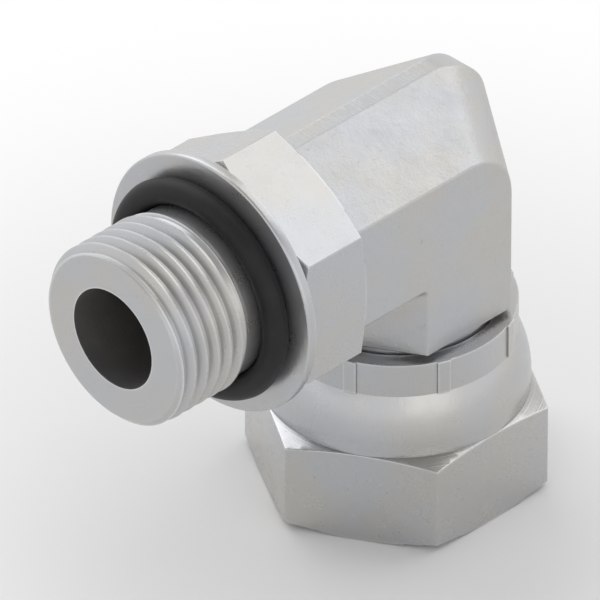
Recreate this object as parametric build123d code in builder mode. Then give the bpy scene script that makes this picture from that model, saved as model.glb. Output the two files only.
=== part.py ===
from build123d import *

import os
from math import radians, sqrt, tan

# Driving dimensions in millimetres. The origin is the centre of the swivel nut's foot,
# +Z runs up the swivel axis and +X runs out along the stud. The stud's thread sets the size
# of the fitting, and the other diameters follow from it by walls, steps and clearances.

# Threaded stud, 3/4-16 straight thread at its major diameter
stud_thread_d = 19.05
tip_bevel = 0.755
tip_thread_length = 9.21  # seal groove to the tip
seal_groove_depth = 0.565
seal_groove_lead = 0.4  # the groove starts this far behind the washer
seal_groove_room = 1.11  # free groove in front of the O-ring

# Elbow forging
leg_shoulder = 0.45  # stud thread to a side flat, 19.95 across flats
land_trim = 0.578  # corners trimmed off to a narrow land
stud_leg_length = 4.94  # crotch to the end face of the stud leg
tail_leg_length = 2.69  # crotch to the underside of the swivel leg
bend_round = 6.85  # rolled outside of the bend
crotch_round = 0.8  # inside of the bend

# Flow passage
passage_wall = 4.225  # stud thread to the passage, 10.6 bore
drill_point_angle = 118.0
drill_overrun = 2.0  # how far each drill runs past the other's axis

# Swivel tail inside the nut, with a conical seat at its tip
neck_step = 0.125  # side flat of the leg to the neck
tail_shoulder_step = 1.25  # neck to the shoulder's rim
tail_shoulder_height = 1.7
seat_step = 1.7  # shoulder's rim to the base of the seat
seat_length = 3.46
seat_half_angle = 30.0

# Swivel nut, 1 1/16 inch hexagon, 1/2-14 straight pipe thread bored to its minor diameter
nut_wall = 1.87  # skirt bore to a flat, 26.54 across flats
nut_hexagon_height = 10.12
nut_foot_chamfer_angle = 19.0
nut_head_chamfer_angle = 16.0
nut_thread_depth = 0.85
skirt_straight = 1.3  # straight part of the skirt above the hexagon
dome_height = 5.06
crimped_ring_wall = 1.81
crimped_ring_height = 3.67
jaw_count = 8
jaw_ridge_width = 1.36
jaw_ridge_proud = 0.16

# Locknut, 15/16 inch hexagon
locknut_wall = 2.2  # stud thread to a flat, 23.45 across flats
locknut_length = 8.63
locknut_chamfer_angle = 21.0
locknut_bore_bevel = 0.6

# Backup washer and O-ring
washer_overhang = 0.06  # past the locknut's corners
washer_thickness = 1.02
washer_edge = 0.1  # broken rims
o_ring_section_d = 2.65

# Clearances
seat_gap = 0.02  # between faces that rest on each other
thread_clearance = 0.05  # locknut bore round the stud
washer_clearance = 0.15  # washer round the seal groove
seal_clearance = 0.05  # O-ring round the seal groove
swivel_gap = 0.52  # crimped ring to the underside of the elbow
neck_clearance = 0.25  # crimped ring round the tail's neck
shoulder_clearance = 0.3  # skirt round the tail's shoulder
crimp_play = 0.2  # shoulder below the foot of the crimp's slope
seat_clearance = 0.25  # nut's thread round the base of the seat
seat_lead = 0.35  # top of the nut's thread to the tip of the seat
face_inset = 0.08  # turned face of a hexagon inside its flats

# Radii that follow
stud_r = stud_thread_d / 2
stud_tip_r = stud_r - tip_bevel
groove_r = stud_r - seal_groove_depth
flow_r = stud_r - passage_wall
body_across_flats = stud_thread_d + 2 * leg_shoulder
land_reach = body_across_flats / sqrt(3) - land_trim
locknut_across_flats = stud_thread_d + 2 * locknut_wall
washer_r = locknut_across_flats / sqrt(3) + washer_overhang
neck_r = body_across_flats / 2 - neck_step
shoulder_r = neck_r + tail_shoulder_step
seat_base_r = shoulder_r - seat_step
seat_tip_r = seat_base_r - seat_length * tan(radians(seat_half_angle))
thread_minor_r = seat_base_r + seat_clearance
thread_major_r = thread_minor_r + nut_thread_depth
ring_bore_r = neck_r + neck_clearance
ring_r = ring_bore_r + crimped_ring_wall
skirt_bore_r = shoulder_r + shoulder_clearance
nut_across_flats = 2 * (skirt_bore_r + nut_wall)
collar_r = nut_across_flats / 2 - face_inset
o_ring_section_r = o_ring_section_d / 2

# Heights above the nut's foot
skirt_top = nut_hexagon_height + skirt_straight
ring_foot = skirt_top + dome_height
nut_height = ring_foot + crimped_ring_height
crimp_foot = ring_foot - (skirt_bore_r - ring_bore_r)
shoulder_top = crimp_foot - crimp_play
shoulder_foot = shoulder_top - tail_shoulder_height
seat_tip = shoulder_foot - seat_length
nut_thread_end = seat_tip - seat_lead
body_underside = nut_height + swivel_gap
stud_axis_height = body_underside + tail_leg_length + land_reach

# Places along the stud, from the swivel axis
stud_leg_reach = land_reach + stud_leg_length
locknut_rear = stud_leg_reach + seat_gap
washer_rear = locknut_rear + locknut_length + seat_gap
o_ring_rear = washer_rear + washer_thickness + seat_gap
groove_rear = washer_rear - seal_groove_lead
groove_front = o_ring_rear + o_ring_section_d + seal_groove_room
stud_reach = groove_front + tip_thread_length

stud_axis = Axis((0, 0, stud_axis_height), (1, 0, 0))
stud_side = Plane((0, 0, stud_axis_height), x_dir=(1, 0, 0), z_dir=(0, -1, 0))
mitre = Plane((0, 0, stud_axis_height), z_dir=(1, 0, 1))
mitre_tolerance = 0.01


def stud_section(reach):
    """The plane across the stud's axis at a distance from the swivel axis, local x upwards."""
    return Plane((reach, 0, stud_axis_height), x_dir=(0, 0, 1), z_dir=(1, 0, 0))


def in_mitre(edge):
    """Whether both ends of an edge lie in the plane where the two legs meet."""
    heights = [mitre.to_local_coords(end.center()).Z for end in edge.vertices()]
    return max(abs(height) for height in heights) < mitre_tolerance


def hexagon_blank(plane, across_flats, length, foot_angle, head_angle):
    """Hexagon bar along the plane's normal, corners on its x, both ends turned to a shallow cone."""
    corner_r = across_flats / sqrt(3)
    face_r = across_flats / 2 - face_inset
    foot_rise = (corner_r - face_r) * tan(radians(foot_angle))
    head_fall = (corner_r - face_r) * tan(radians(head_angle))
    side = Plane(plane.origin, x_dir=plane.x_dir, z_dir=-plane.y_dir)
    with BuildPart() as blank:
        with BuildSketch(plane):
            RegularPolygon(across_flats / 2, 6, major_radius=False)
        extrude(amount=length)
        with BuildSketch(side):
            with BuildLine():
                Polyline(
                    (0, 0),
                    (face_r, 0),
                    (corner_r, foot_rise),
                    (corner_r, length - head_fall),
                    (face_r, length),
                    (0, length),
                    close=True,
                )
            make_face()
        revolve(axis=Axis(plane.origin, plane.z_dir), mode=Mode.INTERSECT)
    return blank.part


# Elbow body: one forging, turned and drilled from both ends
with BuildPart() as elbow_body:
    # Two hexagonal legs that meet in a mitre, made as one half, rolled round and mirrored
    with BuildLine():
        leg_path = Polyline(
            (stud_leg_reach, 0, stud_axis_height),
            (0, 0, stud_axis_height),
            (0, 0, body_underside),
        )
    with BuildSketch(stud_section(stud_leg_reach)):
        RegularPolygon(body_across_flats / 2, 6, major_radius=False)
    sweep(path=leg_path, transition=Transition.RIGHT)
    split(bisect_by=Plane.XZ)
    fillet(elbow_body.edges().filter_by(in_mitre).sort_by(Axis.X)[0], bend_round)
    fillet(elbow_body.edges().filter_by(in_mitre).sort_by(Axis.X)[-1], crotch_round)
    mirror(about=Plane.XZ)

    # Narrow lands where the forging was trimmed, along the corners and round the bend
    with BuildSketch(Plane.XZ):
        with BuildLine():
            Polyline(
                (stud_leg_reach, stud_axis_height + land_reach),
                (-land_reach, stud_axis_height + land_reach),
                (-land_reach, body_underside),
                (land_reach, body_underside),
                (land_reach, stud_axis_height - land_reach),
                (stud_leg_reach, stud_axis_height - land_reach),
                close=True,
            )
        outline = make_face()
        bend_corner = outline.vertices().group_by(Axis.X)[0].sort_by(Axis.Y)[-1]
        crotch_corner = outline.vertices().group_by(Axis.X)[1].sort_by(Axis.Y)[-1]
        fillet(bend_corner, bend_round)
        fillet(crotch_corner, crotch_round)
    extrude(amount=body_across_flats / 2, both=True, mode=Mode.INTERSECT)

    # Stud: rear thread for the locknut, seal groove, tip thread
    with BuildSketch(stud_side):
        with BuildLine():
            Polyline(
                (0, 0),
                (0, stud_r),
                (groove_rear - seal_groove_depth, stud_r),
                (groove_rear, groove_r),
                (groove_front, groove_r),
                (groove_front + seal_groove_depth, stud_r),
                (stud_reach - tip_bevel, stud_r),
                (stud_reach, stud_tip_r),
                (stud_reach, 0),
                close=True,
            )
        make_face()
    revolve(axis=stud_axis)

    # Swivel tail: neck, shoulder held by the crimp, conical seat
    with BuildSketch(Plane.XZ):
        with BuildLine():
            Polyline(
                (0, body_underside),
                (neck_r, body_underside),
                (neck_r, shoulder_top + tail_shoulder_step),
                (shoulder_r, shoulder_top),
                (shoulder_r, shoulder_foot),
                (seat_base_r, shoulder_foot),
                (seat_tip_r, seat_tip),
                (0, seat_tip),
                close=True,
            )
        make_face()
    revolve(axis=Axis.Z)

    # Flow passage: one drilling from each end, meeting in the bend
    drill_point = flow_r / tan(radians(drill_point_angle / 2))
    stud_mouth = Plane((stud_reach, 0, stud_axis_height), x_dir=(0, 0, 1), z_dir=(0, -1, 0))
    tail_mouth = Plane((0, 0, seat_tip), x_dir=(1, 0, 0), z_dir=(0, -1, 0))
    stud_drilling = stud_reach + drill_overrun
    tail_drilling = stud_axis_height - seat_tip + drill_overrun
    for mouth, depth in ((stud_mouth, stud_drilling), (tail_mouth, tail_drilling)):
        with BuildSketch(mouth):
            with BuildLine():
                Polyline((0, 0), (flow_r, 0), (flow_r, depth), (0, depth + drill_point), close=True)
            make_face()
        revolve(axis=Axis(mouth.origin, mouth.y_dir), mode=Mode.SUBTRACT)

# Locknut: hexagon turned on both faces, bored over the stud's rear thread
locknut_blank = hexagon_blank(
    stud_section(locknut_rear),
    locknut_across_flats,
    locknut_length,
    locknut_chamfer_angle,
    locknut_chamfer_angle,
)
with BuildPart() as locknut:
    add(locknut_blank)
    with BuildSketch(stud_section(locknut_rear)):
        Circle(stud_r + thread_clearance)
    extrude(amount=locknut_length, mode=Mode.SUBTRACT)
    bore_rims = locknut.edges().filter_by(GeomType.CIRCLE).sort_by(SortBy.RADIUS)[:2]
    chamfer(bore_rims, locknut_bore_bevel)

# Backup washer
with BuildPart() as backup_washer:
    with BuildSketch(stud_section(washer_rear)):
        Circle(washer_r)
        Circle(groove_r + washer_clearance, mode=Mode.SUBTRACT)
    extrude(amount=washer_thickness)
    outer_rims = backup_washer.edges().filter_by(GeomType.CIRCLE).sort_by(SortBy.RADIUS)[-2:]
    chamfer(outer_rims, washer_edge)

# O-ring, resting on the washer, round the seal groove
o_ring_reach = o_ring_rear + o_ring_section_r
o_ring_centre_r = groove_r + seal_clearance + o_ring_section_r
with BuildPart() as o_ring:
    with BuildSketch(stud_side):
        with Locations((o_ring_reach, o_ring_centre_r)):
            Circle(o_ring_section_r)
    revolve(axis=stud_axis)

# Swivel nut: hexagon, domed skirt and crimped ring with the ridges left between the jaws
nut_blank = hexagon_blank(
    Plane.XY,
    nut_across_flats,
    nut_hexagon_height,
    nut_foot_chamfer_angle,
    nut_head_chamfer_angle,
)
with BuildPart() as swivel_nut:
    add(nut_blank)
    skirt_foot = nut_hexagon_height / 2
    with BuildSketch(Plane.XZ):
        with BuildLine():
            Polyline(
                (ring_r, ring_foot),
                (0, ring_foot),
                (0, skirt_foot),
                (collar_r, skirt_foot),
                (collar_r, skirt_top),
            )
            TangentArc((collar_r, skirt_top), (ring_r, ring_foot), tangent=(0, 1))
        make_face()
    revolve(axis=Axis.Z)
    with BuildSketch(Plane.XY.offset(ring_foot)):
        Circle(ring_r)
        with PolarLocations(ring_r, jaw_count, start_angle=180 / jaw_count):
            Rectangle(2 * jaw_ridge_proud, jaw_ridge_width)
    extrude(amount=crimped_ring_height)

    # Inside: thread, relief above it, skirt bore and the crimp's slope into the ring's bore
    relief_rise = skirt_bore_r - thread_minor_r
    with BuildSketch(Plane.XZ):
        with BuildLine():
            Polyline(
                (0, 0),
                (thread_major_r, 0),
                (thread_minor_r, nut_thread_depth),
                (thread_minor_r, nut_thread_end),
                (skirt_bore_r, nut_thread_end + relief_rise),
                (skirt_bore_r, crimp_foot),
                (ring_bore_r, ring_foot),
                (ring_bore_r, nut_height),
                (0, nut_height),
                close=True,
            )
        make_face()
    revolve(axis=Axis.Z, mode=Mode.SUBTRACT)

elbow_body.part.label = "elbow_body"
locknut.part.label = "locknut"
backup_washer.part.label = "backup_washer"
o_ring.part.label = "o_ring"
swivel_nut.part.label = "swivel_nut"

os.makedirs("parts", exist_ok=True)
export_step(elbow_body.part, "parts/elbow_body.step")
export_step(locknut.part, "parts/locknut.step")
export_step(backup_washer.part, "parts/backup_washer.step")
export_step(o_ring.part, "parts/o_ring.step")
export_step(swivel_nut.part, "parts/swivel_nut.step")
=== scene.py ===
"""Looks of a right-angle hydraulic adapter: forging, threads, locknut, washer, O-ring and swivel nut."""

import logging
import math
from collections.abc import Callable, Iterator
from contextlib import contextmanager
from dataclasses import dataclass
from enum import Enum
from typing import Any

import bpy
from mathutils import Matrix, Vector


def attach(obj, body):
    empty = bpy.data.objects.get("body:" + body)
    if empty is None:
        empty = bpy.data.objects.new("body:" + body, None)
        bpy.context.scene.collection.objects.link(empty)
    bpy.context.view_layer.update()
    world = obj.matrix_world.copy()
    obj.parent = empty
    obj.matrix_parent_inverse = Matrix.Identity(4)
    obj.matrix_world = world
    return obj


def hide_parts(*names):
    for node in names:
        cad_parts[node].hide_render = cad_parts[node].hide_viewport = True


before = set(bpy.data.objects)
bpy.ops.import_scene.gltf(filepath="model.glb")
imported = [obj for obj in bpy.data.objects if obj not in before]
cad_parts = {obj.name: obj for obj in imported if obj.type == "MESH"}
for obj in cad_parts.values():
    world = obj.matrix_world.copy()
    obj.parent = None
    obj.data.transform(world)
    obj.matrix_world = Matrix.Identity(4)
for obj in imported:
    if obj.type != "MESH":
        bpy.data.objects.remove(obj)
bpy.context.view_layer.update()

LOG = logging.getLogger("hydraulic_elbow")
MM = 0.001
MERGE_MM = 0.001
ONE_FLAT_DEG = 0.3
STUD_AXIS_HEIGHT = 34.3
ALONG_STUD = (0.0, math.pi / 2, 0.0)

Colour = tuple[float, float, float]
WHITE = (1.0, 1.0, 1.0, 1.0)


class Axis(Enum):
    """The two axes that the fitting is turned about."""

    STUD = "X"
    SWIVEL = "Z"

    @property
    def origin(self) -> Vector:
        """A point on the axis, in metres."""
        return Vector((0.0, 0.0, STUD_AXIS_HEIGHT * MM if self is Axis.STUD else 0.0))

    @property
    def direction(self) -> Vector:
        """The axis's unit direction."""
        return Vector((1.0, 0.0, 0.0)) if self is Axis.STUD else Vector((0.0, 0.0, 1.0))

    def reach(self, point: Vector) -> float:
        """How far along the axis a point lies, in millimetres."""
        return (point - self.origin).dot(self.direction) / MM

    def radius(self, point: Vector) -> float:
        """How far from the axis a point lies, in millimetres."""
        offset = point - self.origin
        return (offset - self.direction * offset.dot(self.direction)).length / MM


class Cut(Enum):
    """What a boolean does with its tool."""

    ADD = "UNION"
    REMOVE = "DIFFERENCE"


# Modelling with the bench's tools


class Bench:
    """Blender's own modelling tools, used as by hand."""

    @staticmethod
    def clear() -> None:
        """Deselects every object."""
        bpy.ops.object.select_all(action="DESELECT")

    @staticmethod
    def take(piece: bpy.types.Object) -> None:
        """Selects one object alone and makes it active.

        Args:
            piece: The object to work on.
        """
        Bench.clear()
        piece.select_set(True)
        bpy.context.view_layer.objects.active = piece

    @staticmethod
    @contextmanager
    def editing(piece: bpy.types.Object, mode: str = "VERT") -> Iterator[None]:
        """Opens an object in edit mode with nothing selected, and closes it again.

        Args:
            piece: The object to edit.
            mode: VERT, EDGE or FACE, the kind of selection.

        Yields:
            Nothing, once the object is in edit mode.
        """
        Bench.take(piece)
        bpy.ops.object.mode_set(mode="EDIT")
        bpy.ops.mesh.select_mode(type=mode)
        bpy.ops.mesh.select_all(action="DESELECT")
        try:
            yield
        finally:
            bpy.ops.object.mode_set(mode="OBJECT")

    @staticmethod
    def select_faces(piece: bpy.types.Object, wanted: Callable[[Vector], bool]) -> None:
        """Selects the faces whose normal is wanted, from within edit mode.

        Args:
            piece: The object in edit mode.
            wanted: Tells from a face's normal whether to take it.
        """
        bpy.ops.object.mode_set(mode="OBJECT")
        for face in piece.data.polygons:
            face.select = wanted(face.normal)
        bpy.ops.object.mode_set(mode="EDIT")

    @staticmethod
    def round_edges(
        piece: bpy.types.Object,
        wanted: Callable[[Vector], bool],
        width: float,
        sharper_than: float = 22.0,
        segments: int = 3,
    ) -> None:
        """Rounds the sharp edges whose two ends are wanted.

        Faces and vertices are deselected too, because a face that stays selected takes its edges with it.

        Args:
            piece: The object to change.
            wanted: Tells from an end's place whether to take it.
            width: The bevel's width, in millimetres.
            sharper_than: The angle, in degrees, past which an edge is sharp.
            segments: The faces across each bevel.
        """
        with Bench.editing(piece, "EDGE"):
            bpy.ops.mesh.edges_select_sharp(sharpness=math.radians(sharper_than))
            bpy.ops.object.mode_set(mode="OBJECT")
            vertices = piece.data.vertices
            for others in (vertices, piece.data.polygons):
                others.foreach_set("select", [False] * len(others))
            for edge in piece.data.edges:
                edge.select = edge.select and all(wanted(vertices[end].co) for end in edge.vertices)
            bpy.ops.object.mode_set(mode="EDIT")
            bpy.ops.mesh.bevel(offset=width * MM, segments=segments, clamp_overlap=False)

    @staticmethod
    def modify(piece: bpy.types.Object, kind: str, **settings: Any) -> None:
        """Adds a modifier, sets it and applies it.

        Args:
            piece: The object to change.
            kind: The modifier's type.
            **settings: The modifier's own settings.
        """
        Bench.take(piece)
        modifier = piece.modifiers.new(kind.lower(), kind)
        for name, value in settings.items():
            setattr(modifier, name, value)
        bpy.ops.object.modifier_apply(modifier=modifier.name)

    @staticmethod
    def cut(piece: bpy.types.Object, tool: bpy.types.Object, how: Cut) -> None:
        """Adds a tool to a piece or cuts it out, and throws the tool away.

        Args:
            piece: The object to change.
            tool: A closed mesh.
            how: What to do with the tool.
        """
        Bench.modify(piece, "BOOLEAN", operation=how.value, solver="EXACT", object=tool)
        bpy.data.objects.remove(tool)

    @staticmethod
    def copy_node(node: str, name: str) -> bpy.types.Object:
        """Copies a CAD node to a new piece with its loose triangles merged and its flats made whole.

        Args:
            node: The CAD node's name.
            name: The new piece's name.

        Returns:
            The new object, at the origin.
        """
        piece = bpy.data.objects.new(name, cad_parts[node].data.copy())
        piece.data.name = name
        bpy.context.scene.collection.objects.link(piece)
        Bench.take(piece)
        bpy.ops.mesh.customdata_custom_splitnormals_clear()
        with Bench.editing(piece):
            bpy.ops.mesh.select_all(action="SELECT")
            bpy.ops.mesh.remove_doubles(threshold=MERGE_MM * MM)
            bpy.ops.mesh.dissolve_limited(angle_limit=math.radians(ONE_FLAT_DEG))
        return piece

    @staticmethod
    def settle(piece: bpy.types.Object, axis: Axis, reach: float = 0.0) -> None:
        """Moves a piece that was made round the world's own axis to its place, in its mesh.

        Args:
            piece: An object modelled round the origin.
            axis: The axis that it belongs to.
            reach: How far along that axis its middle lies, in millimetres.
        """
        Bench.take(piece)
        piece.location = axis.origin + axis.direction * reach * MM
        bpy.ops.object.transform_apply(location=True, rotation=True, scale=True)

    @staticmethod
    def smooth(piece: bpy.types.Object, angle_deg: float = 32.0) -> None:
        """Shades a piece smooth up to an angle, with wide flats kept flat.

        Args:
            piece: The object to shade.
            angle_deg: The angle past which an edge stays sharp.
        """
        Bench.take(piece)
        bpy.ops.object.shade_smooth_by_angle(angle=math.radians(angle_deg))
        Bench.modify(piece, "WEIGHTED_NORMAL", keep_sharp=True, mode="FACE_AREA", weight=100)


def unlimited(along: float) -> float:
    """The greatest radius of a thread that nothing limits."""
    return math.inf


@dataclass
class Thread:
    """A right-hand helical thread, as a strip that the screw modifier turns into a closed tool."""

    axis: Axis
    pitch: float
    crest_r: float
    root_r: float
    start: float
    end: float
    rim_r: float
    low: Callable[[float], float]
    high: Callable[[float], float] = unlimited
    steps: int = 96
    crest_share: float = 0.125
    root_share: float = 0.25

    def tooth(self) -> list[tuple[float, float]]:
        """The thread's outline over one pitch, from the middle of a crest.

        Returns:
            Places along the axis and radii, in millimetres.
        """
        crest = self.crest_share * self.pitch / 2
        root = self.root_share * self.pitch / 2
        half = self.pitch / 2
        flank = half - crest - root
        depth = self.crest_r - self.root_r
        # The third point rounds the crest's edge, and the fourth and fifth round the root
        side = [
            (0.0, self.crest_r),
            (crest, self.crest_r),
            (crest + 0.10 * flank, self.crest_r - 0.07 * depth),
            (half - root - 0.12 * flank, self.root_r + 0.16 * depth),
            (half - 0.8 * root, self.root_r + 0.03 * depth),
            (half, self.root_r),
        ]
        return side + [(self.pitch - along, radius) for along, radius in reversed(side[1:-1])]

    def strip(self, name: str) -> bpy.types.Object:
        """Turns the tooth into an open helical surface round the world's own axis.

        Args:
            name: The object's name.

        Returns:
            The surface, its radii held between the low and high limits.
        """
        Bench.clear()
        bpy.ops.mesh.primitive_plane_add(size=MM)
        strip = bpy.context.object
        strip.name = name
        out = Vector((0.0, 0.0, 1.0)) if self.axis is Axis.STUD else Vector((1.0, 0.0, 0.0))
        outline = self.tooth() + [(self.pitch, self.crest_r)]
        points = [
            (self.axis.direction * (self.start + along) + out * radius) * MM for along, radius in outline
        ]
        with Bench.editing(strip):
            bpy.ops.mesh.select_all(action="SELECT")
            bpy.ops.mesh.merge(type="CENTER")
            bpy.ops.transform.translate(value=points[0])
            for before, after in zip(points, points[1:]):
                bpy.ops.mesh.extrude_vertices_move(TRANSFORM_OT_translate={"value": after - before})
        Bench.modify(
            strip,
            "ARRAY",
            count=math.ceil((self.end - self.start) / self.pitch),
            use_relative_offset=False,
            use_constant_offset=True,
            constant_offset_displace=self.axis.direction * self.pitch * MM,
            use_merge_vertices=True,
            merge_threshold=MERGE_MM * MM,
        )
        Bench.modify(
            strip,
            "SCREW",
            axis=self.axis.value,
            angle=math.tau,
            screw_offset=self.pitch * MM,
            steps=self.steps,
            render_steps=self.steps,
        )
        with Bench.editing(strip):
            bpy.ops.mesh.select_all(action="SELECT")
            bpy.ops.mesh.remove_doubles(threshold=MERGE_MM * MM)
        self.draw_radii(
            strip, lambda along, radius: min(max(radius, self.low(along)), self.high(along))
        )
        return strip

    def draw_radii(
        self, strip: bpy.types.Object, radius_at: Callable[[float, float], float], chosen: bool = False
    ) -> None:
        """Moves vertices straight in or out from the axis.

        Args:
            strip: A mesh round the world's own axis.
            radius_at: Gives the new radius from the place along the axis and the old radius.
            chosen: Whether to move the selected vertices alone.
        """
        for vertex in strip.data.vertices:
            if vertex.select or not chosen:
                along = vertex.co.dot(self.axis.direction)
                across = vertex.co - self.axis.direction * along
                radius = radius_at(along / MM, across.length / MM)
                vertex.co = self.axis.direction * along + across.normalized() * radius * MM

    def tool(self, name: str) -> bpy.types.Object:
        """Closes the helical surface to its rim: a sleeve if the rim lies outside it, a tap if inside.

        Args:
            name: The object's name.

        Returns:
            A closed mesh in its place.
        """
        strip = self.strip(name)
        with Bench.editing(strip):
            bpy.ops.mesh.select_non_manifold(
                extend=False,
                use_wire=False,
                use_boundary=True,
                use_multi_face=False,
                use_non_contiguous=False,
                use_verts=False,
            )
            bpy.ops.mesh.extrude_region_move()
            bpy.ops.object.mode_set(mode="OBJECT")
            self.draw_radii(strip, lambda along, radius: self.rim_r, chosen=True)
            bpy.ops.object.mode_set(mode="EDIT")
            bpy.ops.mesh.bridge_edge_loops()
            bpy.ops.mesh.select_all(action="SELECT")
            bpy.ops.mesh.normals_make_consistent(inside=False)
        Bench.settle(strip, self.axis)
        return strip


# Shader recipes


Number = "float | Value"


def opaque(colour: Colour, shade: float = 1.0) -> tuple[float, float, float, float]:
    """A colour with full alpha, each part of it multiplied by a shade."""
    return tuple(shade * part for part in colour) + (1.0,)


class Value:
    """A shader socket that is used like a number in Python expressions."""

    def __init__(self, recipe: "Recipe", socket: bpy.types.NodeSocket) -> None:
        """Wraps an output socket of a recipe's node."""
        self.recipe = recipe
        self.socket = socket

    def math(self, operation: str, *others: Number) -> "Value":
        """This value put through a Math node with other values or numbers."""
        return self.recipe.math(operation, self, *others)

    def __add__(self, other: Number) -> "Value":
        """This value plus another."""
        return self.math("ADD", other)

    __radd__ = __add__

    def __sub__(self, other: Number) -> "Value":
        """This value less another."""
        return self.math("SUBTRACT", other)

    def __rsub__(self, other: float) -> "Value":
        """A number less this value."""
        return self.recipe.math("SUBTRACT", other, self)

    def __mul__(self, other: Number) -> "Value":
        """This value times another."""
        return self.math("MULTIPLY", other)

    __rmul__ = __mul__

    def between(self, low: float, high: float) -> "Value":
        """How far this value is from low to high.

        Args:
            low: Where it gives 0.
            high: Where it gives 1.

        Returns:
            A value from 0 to 1.
        """
        return self.recipe.value(
            "ShaderNodeMapRange",
            {"interpolation_type": "SMOOTHSTEP"},
            {"Value": self, "From Min": low, "From Max": high},
        )


class Recipe:
    """One material's nodes, written as expressions on object coordinates."""

    def __init__(self, tree: bpy.types.NodeTree) -> None:
        """Starts an empty node tree."""
        self.tree = tree
        tree.nodes.clear()

    def node(
        self, kind: str, settings: dict[str, Any] | None = None, sockets: dict[str, Any] | None = None
    ) -> bpy.types.Node:
        """Adds a node.

        Args:
            kind: The node's type.
            settings: Its own settings.
            sockets: Values or links for its input sockets, by name or number.

        Returns:
            The new node.
        """
        node = self.tree.nodes.new(kind)
        for name, value in (settings or {}).items():
            setattr(node, name, value)
        for name, value in (sockets or {}).items():
            socket = node.inputs[name]
            if isinstance(value, Value):
                value = value.socket
            if isinstance(value, bpy.types.NodeSocket):
                self.tree.links.new(value, socket)
            else:
                socket.default_value = value
        return node

    def value(
        self,
        kind: str,
        settings: dict[str, Any] | None = None,
        sockets: dict[str, Any] | None = None,
        output: int | str = 0,
    ) -> Value:
        """Adds a node and takes one of its outputs.

        Args:
            kind: The node's type.
            settings: Its own settings.
            sockets: Values or links for its inputs.
            output: The output's name or number.

        Returns:
            The output as a value.
        """
        return Value(self, self.node(kind, settings, sockets).outputs[output])

    def math(self, operation: str, *values: Number) -> Value:
        """Adds a Math node with its inputs in order, and takes its result."""
        return self.value("ShaderNodeMath", {"operation": operation}, dict(enumerate(values)))

    def object_point(self) -> Value:
        """The point on the piece, in metres."""
        return self.value("ShaderNodeTexCoord", output="Object")

    def noise(self, point: Value, size_mm: float, detail: float = 2.0, roughness: float = 0.5) -> Value:
        """Soft noise.

        Args:
            point: Where it is read.
            size_mm: The size of its patches, in millimetres.
            detail: How many finer layers it has.
            roughness: How strong the finer layers are.

        Returns:
            A value about 0.5.
        """
        sockets = {"Vector": point, "Scale": 1 / (size_mm * MM), "Detail": detail, "Roughness": roughness}
        return self.value("ShaderNodeTexNoise", None, sockets)

    def stretched(self, point: Value, scale: tuple[float, float, float]) -> Value:
        """A point whose coordinates are scaled, so that a pattern runs long where the scale is small."""
        return self.value("ShaderNodeMapping", None, {"Vector": point, "Scale": scale})

    def mix_colour(self, share: Number, first: Any, second: Any) -> Value:
        """A colour between two colours or links, with a share of the second."""
        sockets = {0: share, 6: first, 7: second}
        return self.value("ShaderNodeMix", {"data_type": "RGBA"}, sockets, 2)

    def mix_shader(self, share: Number, first: bpy.types.Node, second: bpy.types.Node) -> bpy.types.Node:
        """A Mix Shader node between two shaders' nodes, with a share of the second."""
        sockets = {0: share, 1: first.outputs[0], 2: second.outputs[0]}
        return self.node("ShaderNodeMixShader", None, sockets)

    def bump(self, height: Value, depth_mm: float) -> Value:
        """A normal that is bent by a height.

        Args:
            height: The height, from 0 to 1.
            depth_mm: What a height of 1 stands for.

        Returns:
            The bent normal.
        """
        sockets = {"Height": height, "Distance": depth_mm * MM, "Strength": 1.0}
        return self.value("ShaderNodeBump", None, sockets)


class Tooling(Enum):
    """How a surface was made, before it was plated if it is."""

    FORGED = "forged"
    TRIMMED = "trimmed"
    TURNED = "turned"
    DRAWN = "drawn"
    CRIMPED = "crimped"
    STAMPED = "stamped"
    BORED = "bored"
    MOULDED = "moulded"


MARK_DEPTH_MM = {
    Tooling.FORGED: 0.075,
    Tooling.TRIMMED: 0.05,
    Tooling.TURNED: 0.016,
    Tooling.DRAWN: 0.022,
    Tooling.CRIMPED: 0.05,
    Tooling.STAMPED: 0.02,
    Tooling.BORED: 0.016,
    Tooling.MOULDED: 0.012,
}


class Finish:
    """What a surface is covered with and how it was made."""

    name: str
    tooling: Tooling

    def sockets(self, recipe: Recipe) -> dict[str, Any]:
        """Gives the shader's sockets their values.

        Args:
            recipe: The material's recipe.

        Returns:
            Values and links for the Principled shader, by socket.
        """
        raise NotImplementedError

    def material(self) -> bpy.types.Material:
        """Makes the material.

        Returns:
            A new material with this finish.
        """
        made = bpy.data.materials.new(self.name)
        made.use_nodes = True
        recipe = Recipe(made.node_tree)
        shader = recipe.node("ShaderNodeBsdfPrincipled", None, self.sockets(recipe))
        recipe.node("ShaderNodeOutputMaterial", None, {0: shader.outputs[0]})
        return made


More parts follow.
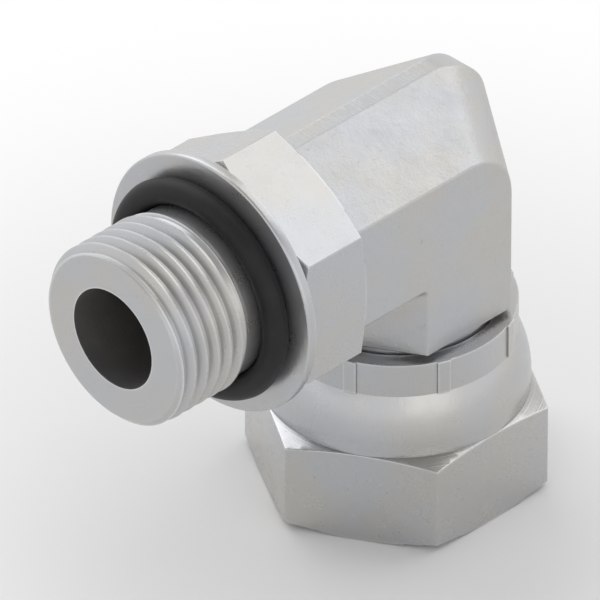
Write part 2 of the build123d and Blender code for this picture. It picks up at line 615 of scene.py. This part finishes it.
@dataclass(frozen=True)
class Plating(Finish):
    """Bright zinc plating over steel, with the marks of the tool under it."""

    name: str
    tooling: Tooling
    axis: Axis
    tint: Colour = (0.54, 0.55, 0.57)
    warm: Colour = (0.58, 0.55, 0.49)
    bare: Colour = (0.78, 0.79, 0.80)
    # Painted shade: the dark colour laid into corners, creases and thread roots.
    painted_shade_colour: Colour = (0.13, 0.125, 0.115)
    speck_shade: float = 0.62
    roughness: float = 0.30
    metallic: float = 0.92
    # How strongly shade is painted into the corners.
    painted_shade_strength: float = 0.6
    ring_mm: float = 0.16
    ring_slant: float = 0.61

    @staticmethod
    def corner(recipe: Recipe, reach_mm: float, inside: bool) -> Value:
        """How open the surface is round a point: low in a nook or, seen from inside, at an edge."""
        settings = {"samples": 6, "only_local": True, "inside": inside}
        return recipe.value("ShaderNodeAmbientOcclusion", settings, {"Distance": reach_mm * MM}, 1)

    def lathe_rings(self, recipe: Recipe, point: Value) -> Value:
        """Fine rings round the axis, as a lathe or a drill leaves them.

        Args:
            recipe: The material's recipe.
            point: The point on the piece.

        Returns:
            Their height, from 0 to 1.
        """
        middle = recipe.value(
            "ShaderNodeVectorMath", {"operation": "SUBTRACT"}, {0: point, 1: self.axis.origin}
        )
        parts = recipe.node("ShaderNodeSeparateXYZ", None, {0: middle}).outputs
        order = (0, 1, 2) if self.axis is Axis.STUD else (2, 0, 1)
        along, side, up = (Value(recipe, parts[index]) for index in order)
        radius = (side * side + up * up).math("SQRT")
        place = radius + along * self.ring_slant
        rings = recipe.value(
            "ShaderNodeTexNoise",
            {"noise_dimensions": "1D"},
            {"W": place, "Scale": 1 / (self.ring_mm * MM), "Detail": 2.0, "Roughness": 0.6},
        )
        return rings * 0.85 + recipe.noise(point, size_mm=0.4) * 0.15

    def marks(self, recipe: Recipe, point: Value) -> Value:
        """The height of the tool's marks.

        Args:
            recipe: The material's recipe.
            point: The point on the piece.

        Returns:
            The height, from 0 to 1.
        """
        if self.tooling is Tooling.FORGED:
            dimples = recipe.noise(point, size_mm=0.85, detail=3.0, roughness=0.6)
            return dimples * 0.7 + recipe.noise(point, size_mm=0.22, roughness=0.6) * 0.3
        if self.tooling is Tooling.TRIMMED:
            sheared = recipe.stretched(point, (1.0, 0.06, 1.0))
            return recipe.noise(sheared, size_mm=0.22, detail=3.0, roughness=0.7)
        if self.tooling is Tooling.DRAWN:
            along = (0.03, 1.0, 1.0) if self.axis is Axis.STUD else (1.0, 1.0, 0.03)
            drawn = recipe.stretched(point, along)
            lines = recipe.noise(drawn, size_mm=0.30, detail=3.0, roughness=0.65)
            return lines * 0.8 + recipe.noise(point, size_mm=0.5) * 0.2
        if self.tooling is Tooling.CRIMPED:
            upright = recipe.stretched(point, (1.0, 1.0, 0.12))
            rubbed = recipe.noise(upright, size_mm=0.35, detail=3.0, roughness=0.6)
            return rubbed * 0.6 + recipe.noise(point, size_mm=1.8) * 0.4
        if self.tooling is Tooling.STAMPED:
            return recipe.noise(point, size_mm=0.45, detail=4.0, roughness=0.6)
        return self.lathe_rings(recipe, point)

    def sockets(self, recipe: Recipe) -> dict[str, Any]:
        """Clouds and specks in the plating, painted shade in the corners, rubbed edges and the tool's
        marks.

        Args:
            recipe: The material's recipe.

        Returns:
            Values and links for the Principled shader, by socket.
        """
        point = recipe.object_point()
        height = self.marks(recipe, point)
        clouds = recipe.noise(point, size_mm=9.0, detail=3.0, roughness=0.55).between(0.35, 0.68)
        film = recipe.noise(point, size_mm=2.6, detail=4.0, roughness=0.6)
        specks = recipe.noise(point, size_mm=0.7, detail=3.0, roughness=0.7).between(0.62, 0.74)
        # Painted shade: where the surface is closed in, at thread roots, creases and between parts, the
        # colour is darkened towards near-black and the surface made rougher.
        crevice = self.corner(recipe, reach_mm=1.0, inside=False).between(0.15, 0.85)
        nook = self.corner(recipe, reach_mm=0.22, inside=False).between(0.25, 0.9)
        worn = 1.0 - self.corner(recipe, reach_mm=0.30, inside=True).between(0.45, 0.95)
        plated = recipe.mix_colour(clouds * 0.55, opaque(self.tint), opaque(self.warm))
        dulled = recipe.mix_colour(specks * 0.22, plated, opaque(self.tint, self.speck_shade))
        rubbed = recipe.mix_colour(worn * 0.7, dulled, opaque(self.bare))
        painted_shade_mask = (1.0 - crevice * nook) * self.painted_shade_strength
        base_with_painted_shade = recipe.mix_colour(painted_shade_mask, rubbed, opaque(self.painted_shade_colour))
        roughness = self.roughness + (film - 0.5) * 0.22 + specks * 0.10 + painted_shade_mask * 0.2 - worn * 0.06
        return {
            "Base Color": base_with_painted_shade,
            "Metallic": self.metallic,
            "Roughness": roughness,
            "Normal": recipe.bump(height, MARK_DEPTH_MM[self.tooling]),
        }


@dataclass(frozen=True)
class Rubber(Finish):
    """Moulded black nitrile rubber, with a pale bloom and dust on it."""

    name: str
    tooling: Tooling = Tooling.MOULDED
    tint: Colour = (0.012, 0.012, 0.013)
    pale_shade: float = 3.2
    specular: float = 0.3

    def sockets(self, recipe: Recipe) -> dict[str, Any]:
        """A dark colour with pale patches, and a soft fine grain.

        Args:
            recipe: The material's recipe.

        Returns:
            Values and links for the Principled shader, by socket.
        """
        point = recipe.object_point()
        bloom = recipe.noise(point, size_mm=3.0, detail=4.0, roughness=0.6)
        dust = recipe.noise(point, size_mm=0.35, detail=3.0, roughness=0.7).between(0.60, 0.78)
        paler = bloom.between(0.4, 0.8) * 0.35 + dust * 0.25
        grain = recipe.noise(point, size_mm=0.18, detail=3.0, roughness=0.6)
        return {
            "Base Color": recipe.mix_colour(paler, opaque(self.tint), opaque(self.tint, self.pale_shade)),
            "Specular IOR Level": self.specular,
            "Roughness": 0.40 + bloom * 0.22 + dust * 0.1,
            "Normal": recipe.bump(grain, MARK_DEPTH_MM[self.tooling]),
        }


# The fitting's pieces


def dress(
    piece: bpy.types.Object,
    finishes: list[Finish],
    choose: Callable[[list[Vector], Vector], Tooling] | None = None,
) -> None:
    """Gives a piece its finishes.

    Args:
        piece: The object to dress.
        finishes: One finish for each of its kinds of surface.
        choose: Tells from a face's corners and normal how it was made, where there are several.
    """
    piece.data.materials.clear()
    for finish in finishes:
        piece.data.materials.append(finish.material())
    places = {finish.tooling: place for place, finish in enumerate(finishes)}
    for face in piece.data.polygons:
        corners = [piece.data.vertices[index].co for index in face.vertices]
        face.material_index = places[choose(corners, face.normal)] if choose else 0


def hand_over(piece: bpy.types.Object, node: str, body: str) -> bpy.types.Object:
    """Lets a piece stand for its CAD node and move with its body.

    Args:
        piece: The finished piece.
        node: The CAD node that it replaces.
        body: The body that it rides on.

    Returns:
        The same piece.
    """
    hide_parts(node)
    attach(piece, body)
    return piece


@dataclass
class ForgedElbow:
    """The forged body with its threaded stud and turned tail.

    Lengths are in millimetres, and a slope is a change of radius over a length.
    """

    leg_end: float = 15.88
    underside: float = 20.67
    land_reach: float = 10.94
    land_half: float = 1.7
    rim_depth: float = 0.3
    crotch_reach: float = 9.0
    crotch_height: float = 24.0
    bore_r: float = 5.3
    bore_slack: float = 0.05
    passage_end: float = 9.5
    slack: float = 0.01
    edge_round: float = 0.20

    pitch: float = 1.5875
    crest_r: float = 9.505
    root_r: float = 8.70
    sleeve_r: float = 11.0
    tip: float = 38.56
    tip_overrun: float = 2.5
    neck_r: float = 8.96
    neck_front: float = 29.35
    neck_rear: float = 24.15
    front_lead: float = 1.7
    rear_lead: float = 1.3
    neck_lift: float = 0.04
    neck_slope: float = 0.35
    front_fade: float = 29.6
    rear_fade: float = 23.9
    leg_gap: float = 0.05
    leg_lift: float = 0.06
    leg_slope: float = 0.9
    leg_fade: float = 16.25

    @property
    def rear_start(self) -> float:
        """Where the rear thread starts along the stud."""
        return self.leg_end + self.leg_gap

    def in_passage(self, point: Vector) -> bool:
        """Whether a point lies in one of the two drillings.

        Args:
            point: A point on the forging.

        Returns:
            True within the stud's drilling or the tail's, up to where they meet.
        """
        limit = self.bore_r + self.bore_slack
        top = (STUD_AXIS_HEIGHT + self.passage_end) * MM
        in_stud = Axis.STUD.radius(point) < limit and point.x > -self.passage_end * MM
        return in_stud or (Axis.SWIVEL.radius(point) < limit and point.z < top)

    def on_stud(self, point: Vector) -> bool:
        """Whether a point lies on the turned stud or the leg's end."""
        return point.x > (self.leg_end - self.slack) * MM

    def on_tail(self, point: Vector) -> bool:
        """Whether a point lies on the turned tail or the leg's end."""
        return point.z < (self.underside + self.slack) * MM

    def on_skin_edge(self, point: Vector) -> bool:
        """Whether a point may lie on one of the forging's outer edges.

        Args:
            point: A point on the forging.

        Returns:
            False in the passage, on the stud, on the tail, inside a leg's end and in the crotch.
        """
        if self.in_passage(point) or point.x > (self.leg_end + self.slack) * MM:
            return False
        if point.z < (self.underside - self.slack) * MM:
            return False
        if self.on_stud(point):
            return Axis.STUD.radius(point) > self.land_reach - self.rim_depth
        if self.on_tail(point):
            return Axis.SWIVEL.radius(point) > self.land_reach - self.rim_depth
        in_corner = point.x > self.crotch_reach * MM and point.z < self.crotch_height * MM
        return not (in_corner and abs(point.y) / MM < self.land_half)

    def sleeve(self, start: float, end: float, low: Callable[[float], float]) -> Thread:
        """A thread that is cut from outside.

        Args:
            start: Where it starts along the stud.
            end: Where it ends.
            low: The least radius at each place, which makes it die out.

        Returns:
            The thread.
        """
        return Thread(
            axis=Axis.STUD,
            pitch=self.pitch,
            crest_r=self.crest_r,
            root_r=self.root_r,
            start=start,
            end=end,
            rim_r=self.sleeve_r,
            low=low,
        )

    def tip_low(self, along: float) -> float:
        """The tip thread's least radius, which rises towards the neck."""
        neck = self.neck_r + self.neck_lift - self.neck_slope * max(0.0, along - self.front_fade)
        return max(self.root_r, neck)

    def rear_low(self, along: float) -> float:
        """The rear thread's least radius, which rises towards the leg and the neck.

        Args:
            along: The place along the axis.

        Returns:
            The radius.
        """
        leg = self.crest_r + self.leg_lift - self.leg_slope * max(0.0, along - self.leg_fade)
        neck = self.neck_r + self.neck_lift - self.neck_slope * max(0.0, self.rear_fade - along)
        return max(self.root_r, leg, neck)

    def surface_kind(self, corners: list[Vector], normal: Vector) -> Tooling:
        """How a face was made.

        Args:
            corners: The face's corners.
            normal: Its normal, which doesn't matter here.

        Returns:
            BORED, TURNED, TRIMMED or FORGED.
        """
        if all(map(self.in_passage, corners)):
            return Tooling.BORED
        if all(map(self.on_stud, corners)) or all(map(self.on_tail, corners)):
            return Tooling.TURNED
        on_land = all(abs(corner.y) < self.land_half * MM for corner in corners)
        return Tooling.TRIMMED if on_land else Tooling.FORGED

    def build(self) -> bpy.types.Object:
        """Models and dresses the forging.

        Returns:
            The finished piece.
        """
        piece = Bench.copy_node("elbow_body", "forged_elbow")
        Bench.round_edges(piece, self.on_skin_edge, self.edge_round)
        tip = self.sleeve(self.neck_front - self.front_lead, self.tip + self.tip_overrun, self.tip_low)
        rear = self.sleeve(self.rear_start, self.neck_rear - self.rear_lead, self.rear_low)
        Bench.cut(piece, tip.tool("tip_thread_tool"), Cut.REMOVE)
        Bench.cut(piece, rear.tool("rear_thread_tool"), Cut.REMOVE)
        Bench.smooth(piece)
        finishes = [
            Plating("zinc_on_forging", Tooling.FORGED, Axis.STUD, roughness=0.40),
            Plating("zinc_on_trimmed_land", Tooling.TRIMMED, Axis.STUD, roughness=0.36),
            # The turned stud gets less shade painted into its corners, which keeps its neck light.
            Plating("zinc_on_turned_stud", Tooling.TURNED, Axis.STUD, metallic=0.78, painted_shade_strength=0.35),
            Plating("zinc_in_bore", Tooling.BORED, Axis.STUD, tint=(0.40, 0.40, 0.41), roughness=0.42),
        ]
        dress(piece, finishes, self.surface_kind)
        return hand_over(piece, "elbow_body", "elbow")


@dataclass
class Locknut:
    """The hexagon nut on the stud's rear thread.

    Lengths are in millimetres, and a lean is how much of a normal lies along the axis.
    """

    rear: float = 15.90
    length: float = 8.63
    minor_r: float = 9.04
    flank_room: float = 0.08
    relief_r: float = 9.64
    relief_end: float = 17.55
    sink: float = 0.3
    core_r: float = 7.0
    turns_behind: int = 2
    tap_overrun: float = 2.2
    plug_r: float = 9.80
    plug_inset: float = 0.40
    drill_room: float = 0.05
    drill_overrun: float = 2.0
    flat_reach: float = 11.0
    flat_lean: float = 0.05
    end_lean: float = 0.98
    end_clear: float = 0.25
    edge_round: float = 0.10

    @property
    def front(self) -> float:
        """Where the nut ends along the stud."""
        return self.rear + self.length

    def rod(self, radius: float, rear: float, front: float) -> bpy.types.Object:
        """A round rod on the stud's axis, for plugging and drilling.

        Args:
            radius: Its radius.
            rear: Where it starts.
            front: Where it ends.

        Returns:
            The rod.
        """
        Bench.clear()
        bpy.ops.mesh.primitive_cylinder_add(
            vertices=128,
            radius=radius * MM,
            depth=(front - rear) * MM,
            location=Axis.STUD.origin + Axis.STUD.direction * (rear + front) / 2 * MM,
            rotation=ALONG_STUD,
        )
        bpy.ops.object.transform_apply(location=True, rotation=True, scale=True)
        return bpy.context.object

    def tap_low(self, along: float) -> float:
        """The tap's least radius, with a countersink at both ends and a relief at the rear.

        Args:
            along: The place along the axis.

        Returns:
            The radius.
        """
        depth = max(0.0, min(along - self.rear, self.front - along))
        relief = self.relief_r - max(0.0, along - self.relief_end)
        return max(self.minor_r, self.plug_r + self.sink - depth, relief)

    def tap(self) -> Thread:
        """The nut's own thread, in step with the stud's.

        Returns:
            The thread.
        """
        stud = ForgedElbow()
        return Thread(
            axis=Axis.STUD,
            pitch=stud.pitch,
            crest_r=stud.crest_r + self.flank_room,
            root_r=stud.root_r + self.flank_room,
            start=stud.rear_start - self.turns_behind * stud.pitch,
            end=self.front + self.tap_overrun,
            rim_r=self.core_r,
            low=self.tap_low,
        )

    def on_hexagon(self, point: Vector) -> bool:
        """Whether a point lies outside the bore and the end faces' inner part."""
        return Axis.STUD.radius(point) > self.flat_reach

    def within_ends(self, point: Vector) -> bool:
        """Whether a point lies on the hexagon, where its ends' chamfers are wide enough to round."""
        clear = self.end_clear
        return self.on_hexagon(point) and self.rear + clear < Axis.STUD.reach(point) < self.front - clear

    def surface_kind(self, corners: list[Vector], normal: Vector) -> Tooling:
        """How a face was made.

        Args:
            corners: The face's corners.
            normal: Its normal.

        Returns:
            DRAWN on a flat, BORED in the thread and TURNED elsewhere.
        """
        if all(map(self.on_hexagon, corners)) and abs(normal.x) < self.flat_lean:
            return Tooling.DRAWN
        in_bore = all(Axis.STUD.radius(corner) < self.plug_r for corner in corners)
        return Tooling.BORED if in_bore and abs(normal.x) < self.end_lean else Tooling.TURNED

    def build(self) -> bpy.types.Object:
        """Models and dresses the locknut.

        Returns:
            The finished piece.
        """
        piece = Bench.copy_node("locknut", "hexagon_locknut")
        Bench.round_edges(piece, self.within_ends, self.edge_round, sharper_than=12.0)
        plug = self.rod(self.plug_r, self.rear + self.plug_inset, self.front - self.plug_inset)
        Bench.cut(piece, plug, Cut.ADD)
        overrun = self.drill_overrun
        drill = self.rod(self.minor_r - self.drill_room, self.rear - overrun, self.front + overrun)
        Bench.cut(piece, drill, Cut.REMOVE)
        Bench.cut(piece, self.tap().tool("locknut_tap"), Cut.REMOVE)
        Bench.smooth(piece)
        finishes = [
            Plating("zinc_on_locknut_flats", Tooling.DRAWN, Axis.STUD, roughness=0.26),
            Plating("zinc_on_locknut_ends", Tooling.TURNED, Axis.STUD, roughness=0.24),
            Plating("zinc_in_locknut", Tooling.BORED, Axis.STUD, tint=(0.46, 0.46, 0.47), roughness=0.36),
        ]
        dress(piece, finishes, self.surface_kind)
        return hand_over(piece, "locknut", "locknut")


@dataclass
class StampedWasher:
    """The backup washer, rolled over at its rim by the punch.

    Lengths are in millimetres, and a lean is how much of a normal lies along the axis.
    """

    rear: float = 24.55
    thickness: float = 1.02
    outer_r: float = 13.598
    inner_r: float = 9.11
    rim_from: float = 12.0
    end_lean: float = 0.9
    front_roll: float = 0.26
    rear_break: float = 0.10

    def build(self) -> bpy.types.Object:
        """Models and dresses the washer.

        Returns:
            The finished piece.
        """
        Bench.clear()
        bpy.ops.mesh.primitive_cylinder_add(
            vertices=160, radius=self.outer_r * MM, depth=self.thickness * MM, rotation=ALONG_STUD
        )
        piece = bpy.context.object
        piece.name = "stamped_washer"
        bpy.ops.object.transform_apply(location=True, rotation=True, scale=True)
        with Bench.editing(piece, "FACE"):
            Bench.select_faces(piece, lambda normal: abs(normal.x) > self.end_lean)
            bpy.ops.mesh.inset(thickness=(self.outer_r - self.inner_r) * MM)
            bpy.ops.mesh.bridge_edge_loops()
        for side, roll in ((1.0, self.front_roll), (-1.0, self.rear_break)):
            Bench.round_edges(
                piece,
                lambda point, side=side: point.x * side > 0 and point.yz.length > self.rim_from * MM,
                roll,
                sharper_than=60.0,
                segments=4,
            )
        Bench.settle(piece, Axis.STUD, self.rear + self.thickness / 2)
        Bench.smooth(piece)
        dress(piece, [Plating("zinc_on_washer", Tooling.STAMPED, Axis.STUD, metallic=0.80)])
        return hand_over(piece, "backup_washer", "seal")


@dataclass
class MouldedORing:
    """The O-ring with the fine line where its mould parted.

    Lengths are in millimetres, and the crease is in degrees.
    """

    reach: float = 26.915
    centre_r: float = 10.335
    section_r: float = 1.325
    line_width: float = 0.16
    line_proud: float = 0.035
    crease: float = 60.0

    def build(self) -> bpy.types.Object:
        """Models and dresses the O-ring.

        Returns:
            The finished piece.
        """
        Bench.clear()
        bpy.ops.mesh.primitive_torus_add(
            major_segments=160,
            minor_segments=40,
            major_radius=self.centre_r * MM,
            minor_radius=(self.section_r - self.line_proud) * MM,
            rotation=ALONG_STUD,
        )
        piece = bpy.context.object
        piece.name = "moulded_o_ring"
        bpy.ops.object.transform_apply(location=True, rotation=True, scale=True)
        with Bench.editing(piece, "EDGE"):
            bpy.ops.object.mode_set(mode="OBJECT")
            for edge in piece.data.edges:
                ends = [piece.data.vertices[index].co for index in edge.vertices]
                edge.select = all(abs(end.x) < MERGE_MM * MM for end in ends)
            bpy.ops.object.mode_set(mode="EDIT")
            bpy.ops.mesh.bevel(offset=self.line_width / 2 * MM, segments=2)
        for vertex in piece.data.vertices:
            across = Vector((0.0, vertex.co.y, vertex.co.z))
            ring = across.normalized() * self.centre_r * MM
            if abs(vertex.co.x) < MERGE_MM * MM:
                vertex.co = ring + (across - ring).normalized() * self.section_r * MM
        Bench.settle(piece, Axis.STUD, self.reach)
        Bench.smooth(piece, self.crease)
        dress(piece, [Rubber("nitrile_rubber")])
        return hand_over(piece, "o_ring", "seal")


@dataclass
class CrimpedSwivelNut:
    """The swivel nut with its pipe thread and crimped ring.

    Lengths are in millimetres and the crease in degrees. A slope is a change of radius over a length,
    and a lean is how much of a normal lies along the axis.
    """

    pitch: float = 1.814
    minor_r: float = 9.68
    major_r: float = 10.50
    crest_share: float = 0.12
    root_share: float = 0.16
    thread_end: float = 9.47
    end_overrun: float = 0.4
    mouth_overrun: float = 2.2
    core_r: float = 6.0
    sink: float = 0.12
    root_room: float = 0.15
    fade_from: float = 8.3
    fade_slope: float = 0.55

    hexagon_top: float = 10.12
    foot_clear: float = 0.25
    collar_r: float = 13.25
    skirt_foot: float = 1.0
    skirt_bore_r: float = 11.45
    ring_foot: float = 16.48
    ring_clear: float = 0.2
    ring_r: float = 11.91
    ridge_slack: float = 0.05
    flat_lean: float = 0.02
    end_lean: float = 0.98
    edge_round: float = 0.12
    ridge_round: float = 0.05
    crease: float = 24.0

    def tap_high(self, along: float) -> float:
        """The pipe thread's greatest radius, which falls below the seat until the thread dies out.

        Args:
            along: The place along the axis.

        Returns:
            The radius.
        """
        if along < self.fade_from:
            return self.major_r + self.root_room
        return self.major_r - (along - self.fade_from) * self.fade_slope

    def tap(self) -> Thread:
        """The nut's pipe thread, countersunk at the mouth.

        Returns:
            The thread.
        """
        return Thread(
            axis=Axis.SWIVEL,
            pitch=self.pitch,
            crest_r=self.major_r,
            root_r=self.minor_r,
            start=-self.mouth_overrun,
            end=self.thread_end + self.end_overrun,
            rim_r=self.core_r,
            low=lambda along: max(self.minor_r, self.major_r + self.sink - max(0.0, along)),
            high=self.tap_high,
            crest_share=self.crest_share,
            root_share=self.root_share,
        )

    def on_hexagon(self, point: Vector) -> bool:
        """Whether a point lies on the hexagon's outside."""
        return Axis.SWIVEL.radius(point) > self.collar_r and point.z < self.hexagon_top * MM

    def above_foot(self, point: Vector) -> bool:
        """Whether a point lies on the hexagon, where its foot's chamfer is wide enough to round."""
        return self.on_hexagon(point) and point.z > self.foot_clear * MM

    def on_ridge(self, point: Vector) -> bool:
        """Whether a point lies on a ridge's outer edge or on the ring's rim."""
        outside = Axis.SWIVEL.radius(point) > self.ring_r - self.ridge_slack
        return outside and point.z > (self.ring_foot + self.ring_clear) * MM

    def surface_kind(self, corners: list[Vector], normal: Vector) -> Tooling:
        """How a face was made.

        Args:
            corners: The face's corners.
            normal: Its normal.

        Returns:
            BORED inside, DRAWN on a flat, CRIMPED on the skirt and TURNED elsewhere.
        """
        in_bore = all(Axis.SWIVEL.radius(corner) < self.skirt_bore_r for corner in corners)
        below_ring = all(corner.z < self.ring_foot * MM for corner in corners)
        if in_bore and below_ring and abs(normal.z) < self.end_lean:
            return Tooling.BORED
        if all(map(self.on_hexagon, corners)) and abs(normal.z) < self.flat_lean:
            return Tooling.DRAWN
        on_skirt = all(corner.z > (self.hexagon_top + self.skirt_foot) * MM for corner in corners)
        return Tooling.CRIMPED if on_skirt else Tooling.TURNED

    def build(self) -> bpy.types.Object:
        """Models and dresses the swivel nut.

        Returns:
            The finished piece.
        """
        piece = Bench.copy_node("swivel_nut", "crimped_swivel_nut")
        Bench.round_edges(piece, self.above_foot, self.edge_round, sharper_than=12.0)
        Bench.round_edges(piece, self.on_ridge, self.ridge_round, sharper_than=50.0, segments=2)
        Bench.cut(piece, self.tap().tool("pipe_tap"), Cut.REMOVE)
        Bench.smooth(piece, self.crease)
        finishes = [
            Plating("zinc_on_nut_flats", Tooling.DRAWN, Axis.SWIVEL, roughness=0.26),
            Plating("zinc_on_nut_ends", Tooling.TURNED, Axis.SWIVEL, roughness=0.24),
            Plating("zinc_on_crimp", Tooling.CRIMPED, Axis.SWIVEL, roughness=0.30),
            Plating("zinc_in_nut", Tooling.BORED, Axis.SWIVEL, tint=(0.46, 0.46, 0.47), roughness=0.36),
        ]
        dress(piece, finishes, self.surface_kind)
        return hand_over(piece, "swivel_nut", "swivel")


# The studio


@dataclass(frozen=True)
class Lamp:
    """A square soft lamp, its place and side in metres."""

    name: str
    place: tuple[float, float, float]
    side: float
    watts: float

    def hang(self, target: tuple[float, float, float]) -> None:
        """Hangs the lamp so that it faces a target.

        Args:
            target: What it faces, in metres.
        """
        data = bpy.data.lights.new(self.name, "AREA")
        data.size = self.side
        data.energy = self.watts
        lamp = bpy.data.objects.new(self.name, data)
        lamp.location = self.place
        aim = Vector(target) - lamp.location
        lamp.rotation_euler = aim.to_track_quat("-Z", "Y").to_euler()
        bpy.context.scene.collection.objects.link(lamp)


@dataclass
class Studio:
    """Floor, light and camera, in metres where the name doesn't say millimetres."""

    level: float = 0.60
    ceiling: float = 0.45
    ceiling_fade: tuple[float, float] = (0.30, 0.85)
    floor_radius: float = 3.0
    floor_gap_mm: float = 0.02
    floor_colour: Colour = (0.90, 0.90, 0.90)
    seen_fade: tuple[float, float] = (0.022, 0.085)
    mirrored_fade: tuple[float, float] = (0.12, 0.50)
    lamps: tuple[Lamp, ...] = (
        Lamp("key", (-0.05, -0.62, 0.68), 0.80, 2.6),
        Lamp("top", (-0.52, 0.10, 0.70), 0.65, 1.3),
        Lamp("fill", (0.25, 0.75, 0.30), 0.60, 0.4),
    )
    lamp_target: tuple[float, float, float] = (0.01, 0.0, 0.025)
    distance: float = 1.8
    frame_mm: float = 58.05
    sensor_mm: float = 36.0
    left_mm: float = 9.376
    down_mm: float = 12.027

    @staticmethod
    def seen(recipe: Recipe) -> tuple[Value, Value]:
        """Which rays show the background.

        Args:
            recipe: The recipe of the floor or the world.

        Returns:
            1 for the camera's own rays, and 1 for rays from a gloss or through glass.
        """
        rays = recipe.node("ShaderNodeLightPath").outputs
        mirrored = Value(recipe, rays["Is Glossy Ray"]).math(
            "MAXIMUM", Value(recipe, rays["Is Transmission Ray"])
        )
        return Value(recipe, rays["Is Camera Ray"]), mirrored

    def world(self) -> None:
        """Lights the scene evenly, in front of a white background."""
        world = bpy.data.worlds.new("studio")
        bpy.context.scene.world = world
        world.use_nodes = True
        recipe = Recipe(world.node_tree)
        seen, mirrored = self.seen(recipe)
        direction = recipe.value("ShaderNodeTexCoord", output="Generated")
        height = recipe.value("ShaderNodeSeparateXYZ", None, {0: direction}, "Z")
        ceiling = 1.0 - height.between(*self.ceiling_fade) * (1.0 - self.ceiling)
        soft = recipe.node("ShaderNodeBackground", None, {"Color": WHITE, "Strength": self.level})
        white = recipe.node("ShaderNodeBackground", None, {"Color": WHITE, "Strength": ceiling})
        both = recipe.mix_shader(seen.math("MAXIMUM", mirrored), soft, white)
        recipe.node("ShaderNodeOutputWorld", None, {0: both.outputs[0]})

    def floor(self) -> None:
        """Lays a pale floor that takes the shadow and turns to white further out."""
        Bench.clear()
        below = (0.0, 0.0, -self.floor_gap_mm * MM)
        bpy.ops.mesh.primitive_circle_add(
            vertices=96, radius=self.floor_radius, fill_type="NGON", location=below
        )
        floor = bpy.context.object
        floor.name = "studio_floor"
        paint = bpy.data.materials.new("pale_floor")
        paint.use_nodes = True
        recipe = Recipe(paint.node_tree)
        matt = recipe.node("ShaderNodeBsdfDiffuse", None, {"Color": opaque(self.floor_colour)})
        white = recipe.node("ShaderNodeEmission", None, {"Color": WHITE, "Strength": 1.0})
        out = recipe.value(
            "ShaderNodeVectorMath", {"operation": "LENGTH"}, {0: recipe.object_point()}, "Value"
        )
        seen, mirrored = self.seen(recipe)
        far = out.between(*self.seen_fade) * seen
        share = far.math("MAXIMUM", out.between(*self.mirrored_fade) * mirrored)
        both = recipe.mix_shader(share, matt, white)
        recipe.node("ShaderNodeOutputMaterial", None, {0: both.outputs[0]})
        floor.data.materials.append(paint)

    def camera(self) -> None:
        """Sets the camera in the drawing's isometric direction, with a long lens."""
        back = Vector((1.0, 1.0, 1.0)).normalized()
        right = Vector((-1.0, 1.0, 0.0)).normalized()
        up = back.cross(right)
        target = Axis.STUD.origin - right * self.left_mm * MM - up * self.down_mm * MM
        data = bpy.data.cameras.new("isometric")
        data.sensor_width = self.sensor_mm
        data.lens = self.sensor_mm * self.distance / (self.frame_mm * MM)
        data.clip_start = 0.01
        data.clip_end = 20.0
        camera = bpy.data.objects.new("isometric", data)
        turn = Matrix((right, up, back)).transposed().to_4x4()
        camera.matrix_world = Matrix.Translation(target + back * self.distance) @ turn
        bpy.context.scene.collection.objects.link(camera)
        bpy.context.scene.camera = camera

    def build(self) -> None:
        """Sets up the whole studio."""
        bpy.context.scene.view_settings.view_transform = "Standard"
        self.world()
        self.floor()
        for lamp in self.lamps:
            lamp.hang(self.lamp_target)
        self.camera()


def main() -> None:
    """Builds the fitting's looks and the studio."""
    logging.basicConfig(level=logging.INFO, format="%(name)s %(message)s")
    for maker in (ForgedElbow(), Locknut(), StampedWasher(), MouldedORing(), CrimpedSwivelNut()):
        piece = maker.build()
        LOG.info("%s: %d faces", piece.name, len(piece.data.polygons))
    Studio().build()


if __name__ == "__main__":
    main()
